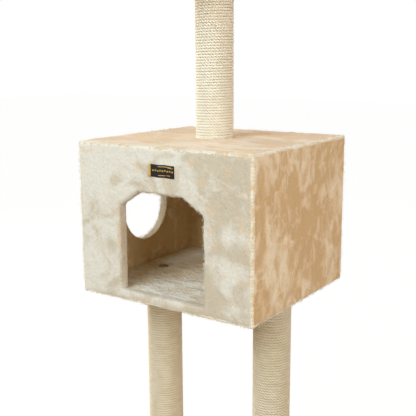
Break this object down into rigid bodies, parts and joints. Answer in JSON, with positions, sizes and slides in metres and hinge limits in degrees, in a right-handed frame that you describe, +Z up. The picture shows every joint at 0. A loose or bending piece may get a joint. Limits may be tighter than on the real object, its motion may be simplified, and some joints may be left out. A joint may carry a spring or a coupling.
{
  "type": "cat tree",
  "caption": "Cat tree: plush base, sisal posts, a plush house with an arched door and a round side window, and a rimmed perch on top.",
  "frame": {"origin": "middle of the base, on the floor", "axes": "+Z up; the door faces -Y; +X is to the right of someone who faces the door"},
  "size_m": [0.54, 0.48, 1.255],
  "materials": {
    "cream_plush": "short crushed-pile plush, cream with tan shading",
    "rim_plush": "the same cream plush, stuffed with fibre",
    "sisal_rope": "natural twisted sisal, rough",
    "woven_label": "dark woven tape with a gold border",
    "pressed_wood": "raw pressed wood",
    "plug_wood": "raw turned softwood",
    "cardboard": "spiral-wound brown cardboard",
    "zinc_steel": "zinc-plated steel",
    "screw_steel": "yellow-passivated steel",
    "staple_steel": "galvanised wire"
  },
  "bodies": {
    "root": {"back_wall_screws": "screw_steel", "base_board": "pressed_wood", "base_bolts": "zinc_steel", "base_hem_staples": "staple_steel", "base_plush_cover": "cream_plush", "base_washers": "zinc_steel", "floor_bolts": "zinc_steel", "floor_screws": "screw_steel", "floor_washers": "zinc_steel", "front_label": "woven_label", "front_wall_screws": "screw_steel", "house_back_board": "pressed_wood", "house_back_lining": "cream_plush", "house_back_plush": "cream_plush", "house_ceiling_lining": "cream_plush", "house_floor_board": "pressed_wood", "house_floor_lining": "cream_plush", "house_front_board": "pressed_wood", "house_front_lining": "cream_plush", "house_front_plush": "cream_plush", "house_left_board": "pressed_wood", "house_left_lining": "cream_plush", "house_left_plush": "cream_plush", "house_right_board": "pressed_wood", "house_right_lining": "cream_plush", "house_right_plush": "cream_plush", "house_roof_board": "pressed_wood", "house_top_plush": "cream_plush", "house_underside_plush": "cream_plush", "left_post_bottom_plug": "plug_wood", "left_post_rope_staples": "staple_steel", "left_post_sisal_rope": "sisal_rope", "left_post_tee_nuts": "zinc_steel", "left_post_top_plug": "plug_wood", "left_post_tube": "cardboard", "perch_board": "pressed_wood", "perch_bolt": "zinc_steel", "perch_plush_cover": "cream_plush", "perch_rim": "rim_plush", "perch_washer": "zinc_steel", "right_post_bottom_plug": "plug_wood", "right_post_rope_staples": "staple_steel", "right_post_sisal_rope": "sisal_rope", "right_post_tee_nuts": "zinc_steel", "right_post_top_plug": "plug_wood", "right_post_tube": "cardboard", "roof_bolt": "zinc_steel", "roof_screws": "screw_steel", "roof_washer": "zinc_steel", "upper_post_bottom_plug": "plug_wood", "upper_post_rope_staples": "staple_steel", "upper_post_sisal_rope": "sisal_rope", "upper_post_tee_nuts": "zinc_steel", "upper_post_top_plug": "plug_wood", "upper_post_tube": "cardboard"}
  },
  "joints": []
}
